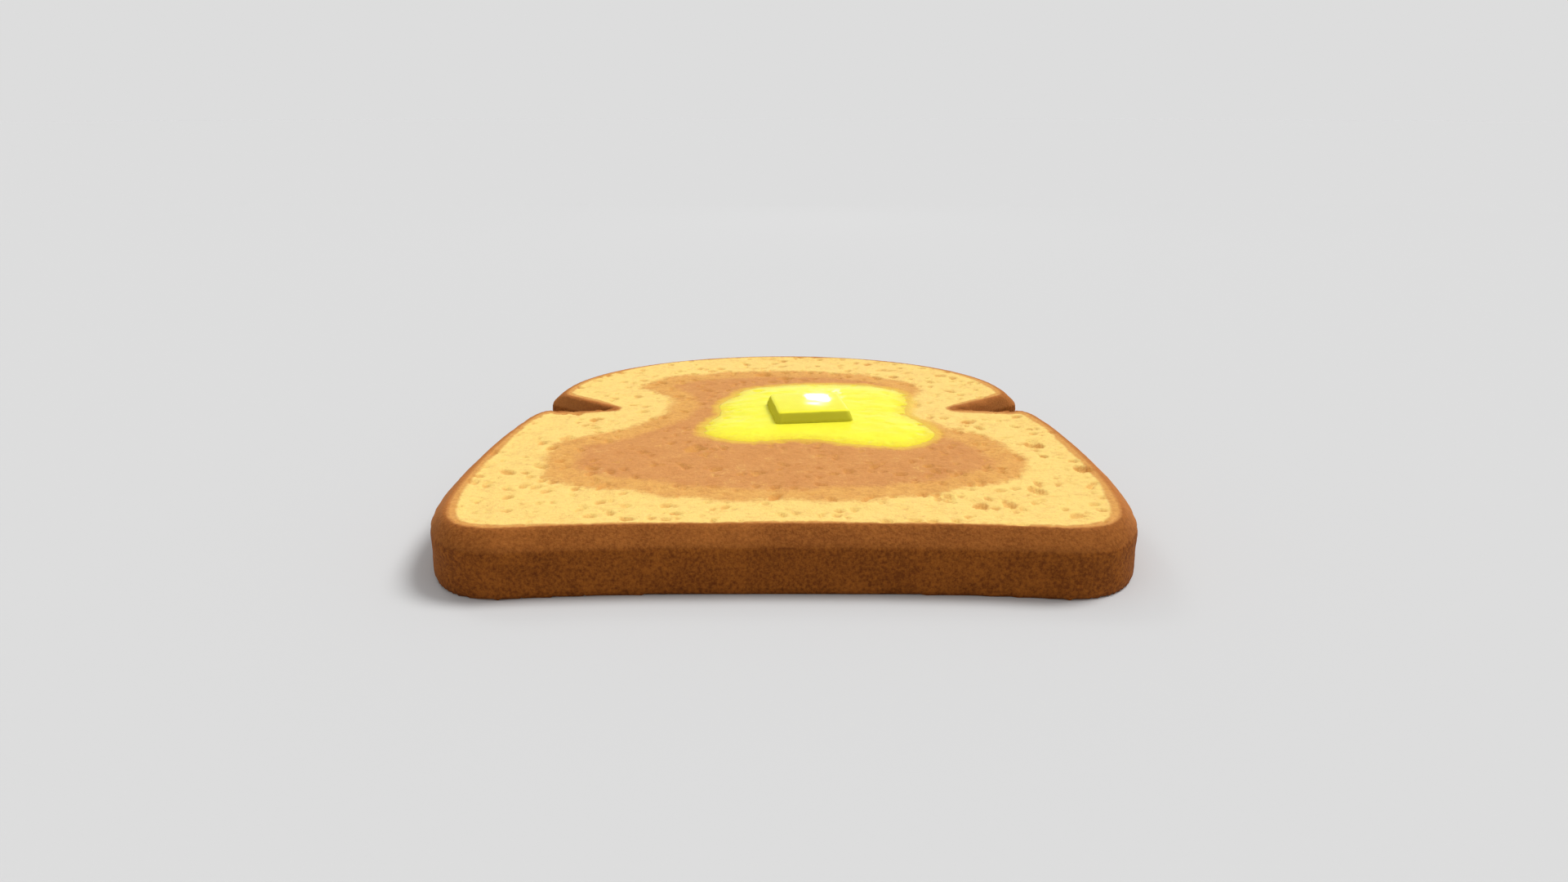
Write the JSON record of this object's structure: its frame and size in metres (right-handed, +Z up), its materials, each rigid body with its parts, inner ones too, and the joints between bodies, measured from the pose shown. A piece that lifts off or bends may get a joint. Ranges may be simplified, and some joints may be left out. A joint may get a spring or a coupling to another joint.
{
  "type": "buttered toast",
  "caption": "Slice of domed sandwich-loaf toast lying flat, browned in the middle, with a puddle of melted butter and a softening square pat of butter on top.",
  "frame": {"origin": "middle of the underside, where the slice rests", "axes": "+Z up through the slice to its buttered face, +Y along the slice from its straight base to the crown of its dome, +X across the slice"},
  "size_m": [0.1222, 0.128, 0.0139],
  "materials": {
    "toasted_bread": "dry, porous and matte, golden crumb with a browned middle and a dark brown crust",
    "melted_butter": "wet and glossy, slightly translucent yellow",
    "butter": "soft satin sheen, slightly translucent pale yellow"
  },
  "bodies": {
    "root": {"toast_slice": "toasted_bread", "butter_puddle": "melted_butter", "butter_pat": "butter"}
  },
  "joints": []
}
